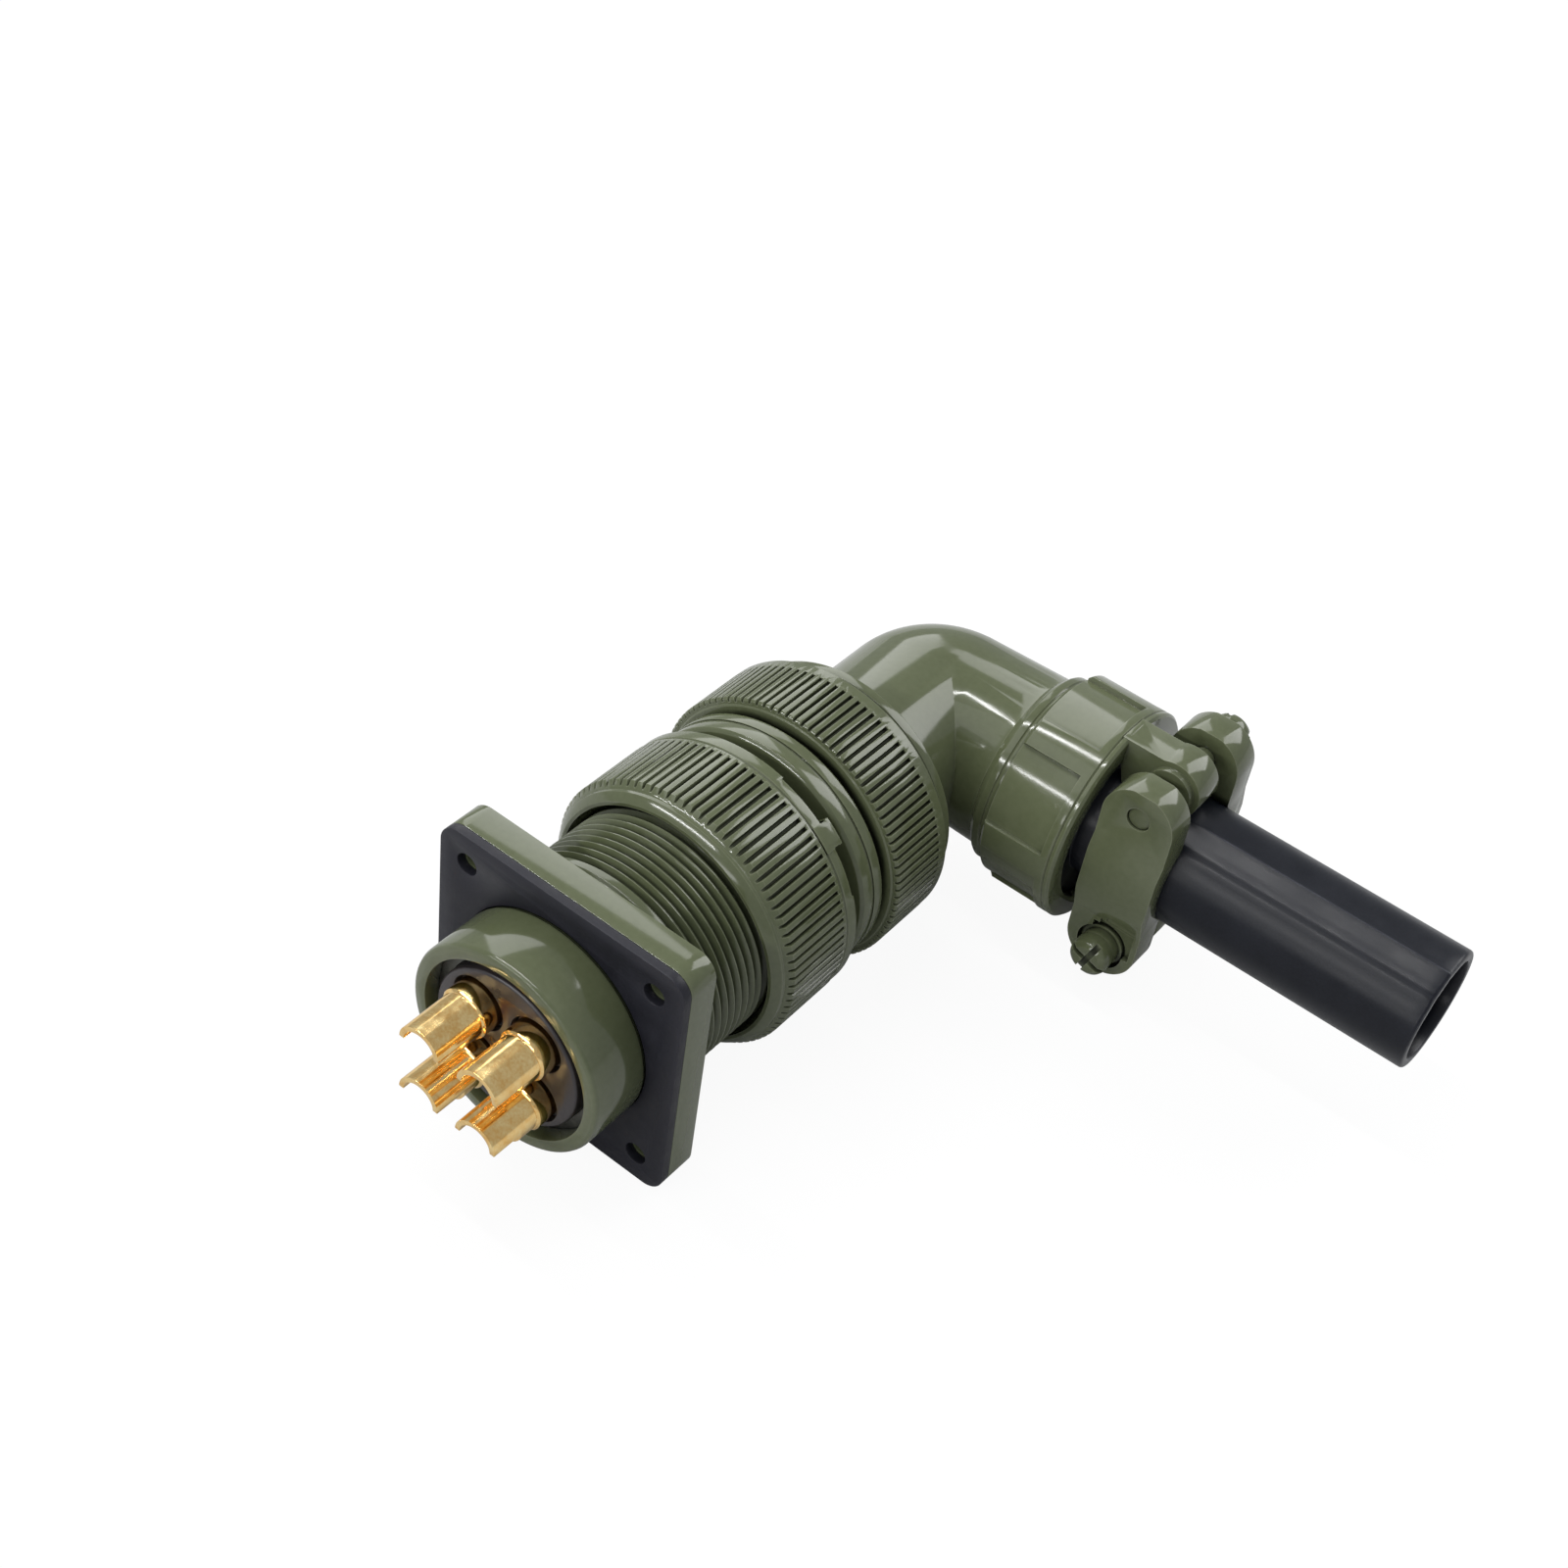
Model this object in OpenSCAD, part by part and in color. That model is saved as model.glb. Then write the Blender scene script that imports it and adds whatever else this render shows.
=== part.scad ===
// Square-flange circular power connector, mated pair with a right-angle plug.
// Receptacle with four solder-cup contacts, screwed to a 90 degree plug whose
// outlet carries a two-saddle cable clamp and a rubber cable bushing.
// Frame: origin on the coupling axis at the panel face of the flange,
// +Y from receptacle to plug, +X along the outlet, +Z up. Millimetres.

/* [Flange and gasket] */
// Side of the square flange
flange_side = 41.28; // [39:0.1:46]
// Thickness of the flange plate
flange_t = 4.8; // [3:0.1:6.5]
// Corner radius of flange and gasket
flange_corner_r = 3.2; // [1.5:0.1:4]
// Spacing of the mounting holes, both ways
hole_pitch = 31.75; // [31:0.05:33]
// Diameter of the mounting holes
hole_d = 3.05; // [2.4:0.05:3.6]
// Thickness of the rubber gasket
gasket_t = 1.4; // [0.8:0.1:2.5]
// Extra size of the gasket holes over the flange holes
gasket_hole_extra = 0.3; // [0.1:0.1:0.8]

/* [Receptacle shell] */
// Length of the rear barrel behind the panel face
rear_barrel_len = 9.4; // [8:0.1:14]
// Wall of the rear barrel round the insert
rear_wall = 2.15; // [1.8:0.05:2.8]
// Depth of the relief under the gasket, on the radius
relief_depth = 0.2; // [0.1:0.05:0.4]
// Major diameter of the coupling thread
thread_d = 34.925; // [34.6:0.025:36]
// Length of the smooth neck between flange and thread
neck_len = 3; // [1.2:0.1:4]
// Step from the thread down to the smooth neck, on the radius
neck_step = 0.35; // [0.1:0.05:1.2]
// Length of the front barrel ahead of the flange
front_barrel_len = 22.8; // [21:0.1:28]
// Wall of the shell round the mating socket
socket_wall = 2.0625; // [1.8:0.0125:2.4]
// Depth of the mating socket
socket_depth = 19; // [17:0.1:20]
// Width of the interface seal
seal_w = 2.2; // [1.6:0.05:2.6]
// Thickness of the interface seal
seal_t = 1.2; // [0.8:0.1:1.6]
// Width of the polarizing key
key_w = 2.4; // [1.6:0.1:4]
// Height of the polarizing key above the plug barrel
key_h = 0.8; // [0.5:0.1:0.9]

/* [Inserts and contacts] */
// How far the insert face sits inside the rear rim
insert_recess = 0.5; // [0.2:0.1:2]
// Step of the insert's flange over its front part
insert_flange = 0.65; // [0.4:0.05:1]
// Step round the raised rear face of the insert
insert_step = 1.65; // [1.2:0.05:1.9]
// Height of the raised rear face
insert_boss_h = 3.4; // [2.6:0.1:4.5]
// How far the receptacle insert stands into the socket
insert_stand = 3; // [2:0.1:4]
// Offset of each contact from the axis, both ways
contact_offset = 4.95; // [4.7:0.05:5.2]
// Outer diameter of a solder cup
cup_d = 6.8; // [6:0.1:7.2]
// Bore of a solder cup
cup_bore_d = 5.2; // [4:0.1:5.4]
// Length of a solder cup with its collar, behind the insert face
cup_len = 10.6; // [8:0.1:13]
// Depth of the solder cup bore
cup_depth = 7; // [5:0.1:7.4]
// Bore of a solder cup inside the plug
plug_cup_bore_d = 5; // [4:0.1:5.1]
// Length of the cut-away lower half of a cup
cup_cut_len = 5; // [3:0.1:6]
// Diameter of the collar of a contact
collar_d = 7.6; // [7.2:0.1:8]
// Length of the collar outside the insert
collar_len = 2.8; // [1.5:0.1:3.2]
// Diameter of the recess around each collar
contact_well_d = 8.5; // [8.2:0.1:9]
// Depth of the recess around each collar
contact_well_h = 1.5; // [1:0.1:2.2]
// Diameter of the contact body inside the insert
contact_body_d = 5.8; // [5:0.1:6]
// Diameter of a contact pin
pin_d = 3.61; // [3:0.01:4]
// Length of a contact pin ahead of the insert
pin_len = 12.4; // [9:0.1:14]
// Running clearance between pin and socket, on the radius
pin_clear = 0.06; // [0.03:0.01:0.1]
// Outer diameter of a socket contact
socket_contact_d = 5.6; // [5.2:0.1:6]

/* [Plug barrel] */
// Running clearance of the plug barrel in the socket, on the radius
barrel_clear = 0.1; // [0.06:0.01:0.2]
// Wall of the plug nose
nose_wall = 1.9; // [1.5:0.05:2.3]
// Length of the plug nose ahead of its shoulder
nose_len = 19.5; // [18.5:0.1:22]
// Gap between the plug nose and the interface seal
mate_gap = 0.3; // [0.1:0.1:1]
// Thickness of the shoulder that the coupling nut pulls on
shoulder_t = 2; // [1.4:0.1:3]
// Height of the shoulder over the neck under the coupling nut
shoulder_h = 1.18; // [0.8:0.02:1.4]
// Height of the collar ring over that neck
collar_ring_h = 3.6; // [2.8:0.1:4.2]
// Width of the collar ring between the two nuts
collar_ring_w = 5.2; // [4:0.1:6]
// Gap from the coupling nut to the collar ring
collar_ring_gap = 2.6; // [2:0.1:4]
// Width of the fine groove in the collar ring
collar_groove_w = 0.4; // [0.2:0.1:0.8]
// Step from the collar ring down to the rear thread
rear_thread_step = 1.8; // [1.2:0.1:2.2]

/* [Coupling nut] */
// Wall of the coupling nut over its thread, knurl included
nut_wall = 3.56; // [3:0.02:4.4]
// Length of the coupling nut
nut_len = 16.6; // [15.4:0.1:18]
// Number of knurl ribs on the coupling nut
nut_ribs = 92; // [60:1:100]
// Depth of the knurl ribs
rib_depth = 0.7; // [0.4:0.1:0.9]
// Length of the smooth front band
nut_front_band = 1.5; // [1:0.1:2.5]
// Length of the smooth rear band
nut_rear_band = 3.2; // [2.6:0.1:4]
// Thickness of the lip that bears on the plug shoulder
nut_lip_t = 5.4; // [3:0.1:6]
// Running clearance of the threads, on the radius
thread_clear = 0.08; // [0.05:0.01:0.15]
// End play of the coupling nut
nut_play = 0.2; // [0.1:0.05:0.4]
// Width of the small index tab on the rear edge
tab_w = 4; // [2:0.1:6]
// How far the index tab stands behind the nut
tab_len = 0.7; // [0.3:0.1:1]
// Angle of the index tab round the axis, from +X to +Z
tab_angle = 48; // [0:1:359]

/* [Backshell nut] */
// Wall of the backshell nut over its thread, knurl included
ring_wall = 3.32; // [2.8:0.02:4]
// Length of the backshell nut
ring_len = 13; // [11:0.1:15]
// Number of knurl ribs on the backshell nut
ring_ribs = 100; // [60:1:108]
// Length of the smooth rear band with its bevel
ring_rear_band = 3; // [2:0.1:4]
// Bevel of the rear band
ring_bevel = 1.3; // [0.4:0.1:1.8]
// Thickness of the rear lip
ring_lip_t = 4.6; // [3:0.1:6]
// Gap between the backshell nut and the collar ring
ring_gap = 0.8; // [0.4:0.1:2]

/* [Elbow] */
// Step from the outlet thread down to the arm
arm_step = 0.78; // [0.5:0.02:1]
// How much slimmer the arm is at the bend than at its bead
arm_taper = 1; // [0:0.1:1.6]
// Bend radius of the elbow's centre line
bend_r = 4; // [2:0.5:7]
// Wall of the elbow at the bend
elbow_wall = 2.2; // [1.6:0.1:2.8]
// Height of the outlet axis above the elbow's seat
elbow_rise = 32; // [29:0.1:38]
// Gap between the elbow and the plug barrel
seat_gap = 0.1; // [0.05:0.05:0.4]
// Width of the elbow's neck ahead of its retaining ring
neck_nose = 1.1; // [0.6:0.1:2]
// Height of the backshell nut's rear lip, thread to elbow neck
ring_lip_h = 2.38; // [1.8:0.02:2.8]
// Height of the shoulder behind the backshell nut over the elbow's neck
elbow_shoulder_h = 3.9; // [0.8:0.1:4.4]
// Thickness of the shoulder behind the backshell nut
elbow_shoulder_t = 2.5; // [1.4:0.1:3]
// Distance from the coupling axis to the end of the bead
bead_x = 21; // [20:0.1:26]
// Width of the bead at the end of the arm
bead_w = 2.3; // [1.4:0.1:3]
// Height of the bead over the outlet thread
bead_h = 0.37; // [0.1:0.01:0.9]
// Diameter of the outlet thread
outlet_thread_d = 30.16; // [29.6:0.02:30.8]

/* [Cable clamp] */
// Wall of the clamp ring over its thread
clamp_wall = 2.04; // [1.8:0.02:2.8]
// Length of the clamp ring
clamp_len = 12.5; // [11.5:0.1:14]
// Gap between the clamp ring and the bead
clamp_gap = 0.3; // [0.2:0.1:1]
// Width of the rim behind the panels
clamp_rim_w = 2.5; // [1.5:0.1:3.5]
// Thickness of the clamp ring's rear lip, which holds the bushing
clamp_lip_t = 1.3; // [1:0.1:2]
// Height of that lip over the thread
clamp_lip_h = 1.56; // [1.2:0.02:3.6]
// Depth of the recessed panels
panel_depth = 0.8; // [0.3:0.1:1]
// Number of recessed panels
panels = 6; // [4:1:8]
// Angle of the land between two panels
land_angle = 15; // [8:1:24]
// Thickness of a lug
lug_t = 5.4; // [4:0.1:6]
// Thickness of the pad round the hole of a lug
pad_t = 7.4; // [6.6:0.1:8]
// Distance from the clamp ring to the clamp screws
screw_reach = 8; // [7.4:0.1:11]
// Distance of the clamp screws from the bushing's outer face
screw_offset = 3.475; // [3:0.025:4.2]
// Radius of the rounded end of a lug
lug_end_r = 4.6; // [3.8:0.1:4.8]
// Width of a saddle
saddle_w = 11.4; // [9:0.1:12]
// Thickness of a saddle over its seat
saddle_wall = 1.975; // [1.8:0.025:3]
// Thickness of the saddle ends
saddle_end_t = 5; // [4.4:0.1:5.4]
// Bulge of the middle of a saddle
saddle_crown = 1.2; // [0.2:0.1:1.4]
// Length of the stepped recess above the screw head
recess_len = 6.2; // [5:0.1:7]
// Depth of the recess for the screw head
recess_depth = 1.4; // [0.8:0.1:2.6]

/* [Clamp screws] */
// Diameter of the clamp screws
screw_d = 3.5; // [3:0.1:4]
// Diameter of the screw heads
screw_head_d = 6.2; // [5.6:0.1:6.8]
// Height of the screw heads
screw_head_h = 2.9; // [1.8:0.1:3.4]
// Width of the cross slot
slot_w = 0.9; // [0.6:0.1:1.2]
// Depth of the cross slot
slot_depth = 1.2; // [0.8:0.1:1.4]
// Thickness of the lock washers
washer_t = 1.5; // [0.6:0.1:1.8]
// Thickness of the flat washers
flat_washer_t = 0.8; // [0.4:0.1:1.2]
// Diameter of the lock washers
washer_d = 6; // [5.4:0.1:6.2]
// Clearance of the screws in their holes, on the radius
screw_clear = 0.1; // [0.06:0.01:0.2]

/* [Bushing] */
// Outer diameter of the rubber bushing
bushing_d = 19.05; // [18:0.05:19.6]
// Wall of the rubber bushing
bushing_wall = 1.5875; // [1.2:0.0125:2.6]
// Distance from the coupling axis to the free end of the bushing
bushing_end_x = 87.6; // [70:0.1:100]
// Thickness of the bushing's inner flange
bushing_flange_t = 2; // [1.2:0.1:2.4]
// Gap between the bushing and the end of the elbow
bushing_gap = 0.3; // [0.1:0.1:1]
// Clearance between the bushing and the pieces that turn round it
bushing_clear = 0.1; // [0.06:0.01:0.3]

/* [Hidden] */

$fn = 64;
eps = 0.01;
olive = "#5d6449";
gold = "#d9a441";
rubber = "#1d1e22";
dark = "#3a3032";
steel = "#6f7269";

// Receptacle stations along Y
flange_front_y = gasket_t + flange_t;
rim_y = -rear_barrel_len;
thread_y = flange_front_y + neck_len;
neck_d = thread_d - 2 * neck_step;
socket_bore_d = thread_d - 2 * socket_wall;
insert_front_d = socket_bore_d - 2 * seal_w;
insert_bore_d = insert_front_d + 2 * insert_flange;
rear_barrel_d = insert_bore_d + 2 * rear_wall;
insert_boss_d = insert_bore_d - 2 * insert_step;
shell_front_y = flange_front_y + front_barrel_len;
socket_floor_y = shell_front_y - socket_depth;
insert_face_y = rim_y + insert_recess;
insert_step_y = insert_face_y + insert_boss_h;
insert_front_y = socket_floor_y + insert_stand;
insert_seat_y = gasket_t + 1.6;
ring_groove = 0.55;
retainer_t = 1.1;
key_clear = 0.1;
cup_end_y = insert_face_y - cup_len;
collar_y = insert_face_y - collar_len;
well_y = insert_face_y + contact_well_h;
pin_tip_y = insert_front_y + pin_len;

// Plug stations along Y
nose_y = socket_floor_y + seal_t + mate_gap;
nose_d = socket_bore_d - 2 * barrel_clear;
plug_bore_d = nose_d - 2 * nose_wall;
shoulder_y = nose_y + nose_len;
shoulder_rear_y = shoulder_y + shoulder_t;
nut_bore_d = thread_d + 2 * thread_clear;
nut_d = nut_bore_d + 2 * nut_wall;
shoulder_d = nut_bore_d - 4 * thread_clear;
plug_neck_d = shoulder_d - 2 * shoulder_h;
collar_ring_d = plug_neck_d + 2 * collar_ring_h;
rear_thread_d = collar_ring_d - 2 * rear_thread_step;
lip_y = shoulder_rear_y + nut_play;
nut_rear_y = lip_y + nut_lip_t;
nut_front_y = nut_rear_y - nut_len;
lip_bore_d = plug_neck_d + 2 * barrel_clear;
snap_t = 1;
snap_y = nut_rear_y + nut_play;
collar_ring_y = nut_rear_y + collar_ring_gap;
collar_ring_rear_y = collar_ring_y + collar_ring_w;
ring_front_y = collar_ring_rear_y + ring_gap;
ring_rear_y = ring_front_y + ring_len;
backshell_lip_y = ring_rear_y - ring_lip_t;
elbow_groove_y = backshell_lip_y - nut_play - snap_t;
elbow_seat_y = elbow_groove_y - neck_nose;
barrel_end_y = elbow_seat_y - seat_gap;
plug_face_y = insert_front_y + 0.2;
plug_insert_rear_y = collar_ring_rear_y - 2;
plug_cup_len = 11.5;
ring_bore_d = rear_thread_d + 2 * thread_clear;
ring_d = ring_bore_d + 2 * ring_wall;
elbow_neck_d = ring_bore_d - 2 * ring_lip_h;
elbow_shoulder_d = elbow_neck_d + 2 * elbow_shoulder_h;
shoulder2_y = ring_rear_y + nut_play + 0.1;
elbow_body_y = shoulder2_y + elbow_shoulder_t;
outlet_y = elbow_seat_y + elbow_rise;
retainer_out_d = ring_bore_d - 1.2;
// How far the smooth body lies under the roots of a knurl
core_gap = 0.12;

// Outlet diameters and stations along X
arm_d = outlet_thread_d - 2 * arm_step;
elbow_d = arm_d - arm_taper;
elbow_bore_d = elbow_d - 2 * elbow_wall;
bead_d = outlet_thread_d + 2 * bead_h;
clamp_x = bead_x + clamp_gap;
clamp_rear_x = clamp_x + clamp_len;
clamp_lip_x = clamp_rear_x - clamp_lip_t;
screw_x = clamp_rear_x + screw_reach;
bushing_x = clamp_lip_x - bushing_clear - bushing_flange_t;
stub_end_x = bushing_x - bushing_gap;
clamp_bore_d = outlet_thread_d + 2 * thread_clear;
clamp_d = clamp_bore_d + 2 * clamp_wall;
clamp_lip_d = clamp_bore_d - 2 * clamp_lip_h;
bushing_flange_d = clamp_bore_d - 4 * bushing_clear;
bushing_bore_d = bushing_d - 2 * bushing_wall;
seat_r = bushing_d / 2 + bushing_clear;
screw_height = bushing_d / 2 + screw_offset;
saddle_out = seat_r + saddle_wall;
saddle_in = saddle_out - saddle_end_t;
recess_floor = saddle_out - recess_depth;
washer_seat = recess_floor + flat_washer_t;
head_seat = washer_seat + washer_t;
head_top = head_seat + screw_head_h;
recess_r = screw_head_d / 2 + 0.7;

// Turns local +Z into +Y, and local +Z into +X on the outlet axis
module on_y() rotate([-90, 0, 0]) children();
module on_x() translate([0, outlet_y, 0]) rotate([0, 90, 0]) children();
// A solid of revolution about Y from [radius, y] points
module turned(points) on_y() rotate_extrude() polygon(points);
// A plain ring about Y
module ring_y(d_out, d_in, y0, y1)
    turned([[d_in / 2, y0], [d_out / 2, y0], [d_out / 2, y1], [d_in / 2, y1]]);
// A cylinder along Y
module rod_y(d, y0, y1, x = 0, z = 0, fn = $fn)
    translate([x, y0, z]) on_y() cylinder(d = d, h = y1 - y0, $fn = fn);
// A rounded square plate between two y values
module square_plate(side, r, y0, y1)
    translate([0, y1, 0]) rotate([90, 0, 0]) linear_extrude(y1 - y0)
        union() {
            square([side, side - 2 * r], center = true);
            square([side - 2 * r, side], center = true);
            for (sx = [-1, 1], sy = [-1, 1])
                translate([sx * (side / 2 - r), sy * (side / 2 - r)]) circle(r);
        }
// The four mounting holes
module flange_holes(d, y0, y1)
    for (sx = [-1, 1], sz = [-1, 1])
        rod_y(d, y0, y1, sx * hole_pitch / 2, sz * hole_pitch / 2, 32);
// Places a contact: index 0 to 3 as a, b, c, d
module at_contact(i)
    translate([contact_offset * [-1, 1, -1, 1][i], 0, contact_offset * [1, 1, -1, -1][i]])
        children();
// Outline of a straight knurl: ribs with flat crowns and flat roots
function knurl(n, r, depth) = [for (i = [0 : n - 1], k = [0 : 3])
    let (a = 360 / n * (i + [0, 0.1, 0.66, 0.76][k]), q = (k == 1 || k == 2) ? r : r - depth)
    q * [cos(a), sin(a)]];
// A knurled band about Y whose ribs start with a bevel and run into a smooth band
module knurled_band(n, d, depth, y0, y1, bevel)
    intersection() {
        translate([0, y0 - 1, 0]) on_y() linear_extrude(y1 - y0 + 2) polygon(knurl(n, d / 2, depth));
        turned([[0, y0], [d / 2 - bevel, y0], [d / 2 + 0.3, y0 + bevel + 0.3], [d / 2 + 0.3, y1], [0, y1]]);
    }

module flange_gasket() color(rubber) difference() {
    square_plate(flange_side, flange_corner_r, 0, gasket_t);
    rod_y(rear_barrel_d, -1, gasket_t + 1);
    flange_holes(hole_d + gasket_hole_extra, -1, gasket_t + 1);
}

module receptacle_shell() color(olive) difference() {
    union() {
        square_plate(flange_side, flange_corner_r, gasket_t, flange_front_y);
        turned([[0, rim_y], [rear_barrel_d / 2 - 0.7, rim_y], [rear_barrel_d / 2 - 0.2, rim_y + 0.2],
            [rear_barrel_d / 2, rim_y + 0.7], [rear_barrel_d / 2, -0.3],
            [rear_barrel_d / 2 - relief_depth, -0.3 + relief_depth],
            [rear_barrel_d / 2 - relief_depth, gasket_t + 0.5], [0, gasket_t + 0.5]]);
        turned([[0, flange_front_y - 0.5], [neck_d / 2 + 0.8, flange_front_y - 0.5],
            [neck_d / 2 + 0.8, flange_front_y], [neck_d / 2 + 0.2, flange_front_y + 0.2],
            [neck_d / 2, flange_front_y + 0.8], [neck_d / 2, thread_y - neck_step],
            [thread_d / 2, thread_y], [thread_d / 2, shell_front_y - 0.8],
            [thread_d / 2 - 0.8, shell_front_y], [0, shell_front_y]]);
    }
    // insert seat, retaining groove, insert bore and mating socket
    rod_y(insert_bore_d, rim_y - 1, insert_seat_y);
    rod_y(insert_bore_d + 2 * ring_groove, insert_step_y - retainer_t, insert_step_y);
    rod_y(insert_front_d, insert_seat_y - eps, socket_floor_y + eps);
    turned([[0, socket_floor_y], [socket_bore_d / 2, socket_floor_y],
        [socket_bore_d / 2, shell_front_y - 0.6], [socket_bore_d / 2 + 0.6, shell_front_y],
        [socket_bore_d / 2 + 0.6, shell_front_y + 1], [0, shell_front_y + 1]]);
    // keyway
    translate([-key_w / 2 - key_clear, socket_floor_y, 0])
        cube([key_w + 2 * key_clear, socket_depth + 1, nose_d / 2 + key_h + key_clear]);
    flange_holes(hole_d, gasket_t - 1, flange_front_y + 1);
}

module receptacle_insert() color(dark) difference() {
    turned([[0, insert_face_y], [insert_boss_d / 2 - 0.3, insert_face_y],
        [insert_boss_d / 2, insert_face_y + 0.3], [insert_boss_d / 2, insert_step_y],
        [insert_bore_d / 2, insert_step_y], [insert_bore_d / 2, insert_seat_y],
        [insert_front_d / 2, insert_seat_y], [insert_front_d / 2, insert_front_y - 0.4],
        [insert_front_d / 2 - 0.4, insert_front_y], [0, insert_front_y]]);
    for (i = [0 : 3]) at_contact(i) {
        rod_y(contact_body_d, insert_face_y - 1, insert_front_y - 1);
        rod_y(pin_d, insert_front_y - 1 - eps, insert_front_y + 1);
        rod_y(contact_well_d, insert_face_y - 1, well_y);
    }
}

// Open ring in a groove: the gap is a straight cut
module open_ring(d_out, d_in, y0, t, gap, turn = 0) difference() {
    ring_y(d_out, d_in, y0, y0 + t);
    rotate([0, turn, 0]) translate([-gap / 2, y0 - 1, 0]) cube([gap, t + 2, d_out]);
}
module insert_retaining_ring() color(steel)
    open_ring(insert_bore_d + 2 * ring_groove, insert_boss_d + 0.2,
        insert_step_y - retainer_t, retainer_t, 5, 200);

module interface_seal() color(rubber)
    ring_y(socket_bore_d, insert_front_d, socket_floor_y, socket_floor_y + seal_t);

// Solder-cup contact with a pin: collar, cup, cut-away lower half
module pin_contact(i) color(gold) at_contact(i) difference() {
    union() {
        rod_y(cup_d, cup_end_y, collar_y + eps, fn = 48);
        turned([[0, collar_y], [collar_d / 2 - 0.3, collar_y], [collar_d / 2, collar_y + 0.3],
            [collar_d / 2, well_y], [0, well_y]]);
        rod_y(contact_body_d, well_y - eps, insert_front_y - 1, fn = 48);
        turned([[0, insert_front_y - 1 - eps], [pin_d / 2, insert_front_y - 1 - eps],
            [pin_d / 2, pin_tip_y - 1.6], [pin_d / 2 - 0.35, pin_tip_y - 0.6],
            [pin_d / 2 - 1, pin_tip_y], [0, pin_tip_y]]);
    }
    rod_y(cup_bore_d, cup_end_y - 1, cup_end_y + cup_depth, fn = 48);
    translate([-cup_d, cup_end_y - 1, -cup_d]) cube([2 * cup_d, cup_cut_len + 1, cup_d]);
}
module pin_contact_a() pin_contact(0);
module pin_contact_b() pin_contact(1);
module pin_contact_c() pin_contact(2);
module pin_contact_d() pin_contact(3);

module plug_barrel() color(olive) difference() {
    union() {
        turned([[0, nose_y], [nose_d / 2 - 0.5, nose_y], [nose_d / 2, nose_y + 0.5],
            [nose_d / 2, shoulder_y], [shoulder_d / 2, shoulder_y], [shoulder_d / 2, shoulder_rear_y],
            [plug_neck_d / 2, shoulder_rear_y], [plug_neck_d / 2, collar_ring_y],
            [collar_ring_d / 2 - 0.5, collar_ring_y], [collar_ring_d / 2, collar_ring_y + 0.5],
            [collar_ring_d / 2, collar_ring_rear_y - 0.7], [collar_ring_d / 2 - 0.7, collar_ring_rear_y],
            [rear_thread_d / 2, collar_ring_rear_y], [rear_thread_d / 2, barrel_end_y - 0.6],
            [rear_thread_d / 2 - 0.6, barrel_end_y], [0, barrel_end_y]]);
        translate([-key_w / 2, nose_y + 1, 0]) cube([key_w, nose_len * 0.6, nose_d / 2 + key_h]);
    }
    rod_y(plug_bore_d, nose_y - 1, plug_insert_rear_y);
    rod_y(elbow_bore_d + 4, plug_insert_rear_y - eps, barrel_end_y + 1);
    // fine groove in the collar ring and groove for the nut's retaining ring
    ring_y(collar_ring_d + 2, collar_ring_d - 0.5, collar_ring_y + collar_ring_w / 2 - collar_groove_w / 2,
        collar_ring_y + collar_ring_w / 2 + collar_groove_w / 2);
    ring_y(plug_neck_d + 2, plug_neck_d - 1.2, snap_y, snap_y + snap_t);
}

module coupling_nut_retaining_ring() color(steel)
    open_ring(plug_neck_d + 2.2, plug_neck_d - 1.2, snap_y, snap_t, 4, 150);

module plug_insert() color(dark) difference() {
    turned([[0, plug_face_y], [plug_bore_d / 2 - 0.4, plug_face_y], [plug_bore_d / 2, plug_face_y + 0.4],
        [plug_bore_d / 2, plug_insert_rear_y], [0, plug_insert_rear_y]]);
    for (i = [0 : 3]) at_contact(i) {
        rod_y(socket_contact_d, plug_face_y + 1, plug_insert_rear_y + 1);
        rod_y(pin_d + 4 * pin_clear, plug_face_y - 1, plug_face_y + 1 + eps);
    }
}

// Socket contact: pin bore in front, solder cup behind
module socket_contact(i) color(gold) at_contact(i) difference() {
    union() {
        rod_y(socket_contact_d, plug_face_y + 1, plug_insert_rear_y + eps, fn = 48);
        rod_y(cup_d, plug_insert_rear_y, plug_insert_rear_y + plug_cup_len, fn = 48);
    }
    rod_y(pin_d + 2 * pin_clear, plug_face_y, pin_tip_y + 1.5, fn = 48);
    rod_y(plug_cup_bore_d, plug_insert_rear_y + plug_cup_len - cup_depth,
        plug_insert_rear_y + plug_cup_len + 1, fn = 48);
    translate([-cup_d, plug_insert_rear_y + plug_cup_len - cup_cut_len, -cup_d])
        cube([2 * cup_d, cup_cut_len + 1, cup_d]);
}
module socket_contact_a() socket_contact(0);
module socket_contact_b() socket_contact(1);
module socket_contact_c() socket_contact(2);
module socket_contact_d() socket_contact(3);

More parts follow.
